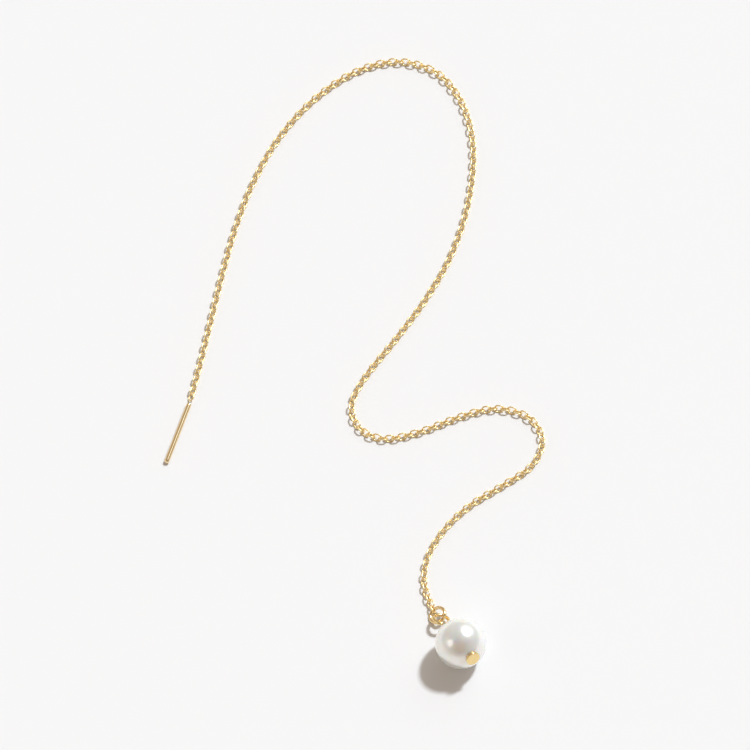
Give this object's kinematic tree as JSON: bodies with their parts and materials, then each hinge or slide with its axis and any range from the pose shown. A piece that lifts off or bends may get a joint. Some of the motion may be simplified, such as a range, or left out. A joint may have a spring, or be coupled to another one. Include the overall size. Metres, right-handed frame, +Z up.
{
  "type": "threader earring",
  "caption": "Threader earring: a plain round post, a fine cable chain, a jump ring, and a round pearl on a flat-headed pin with an eye.",
  "frame": {"origin": "on the surface that the earring lies on, under the middle of its box", "axes": "+Z up, +Y away from the viewer along the earring's longest side as it lies, +X to the right"},
  "size_m": [0.0446, 0.0816, 0.006],
  "materials": {
    "gold": "polished gold plate",
    "pearl": "lustrous nacre"
  },
  "bodies": {
    "root": {"post": "gold", "chain_post_half": "gold", "chain_pearl_half": "gold", "jump_ring": "gold", "head_pin": "gold", "pearl": "pearl"}
  },
  "joints": []
}
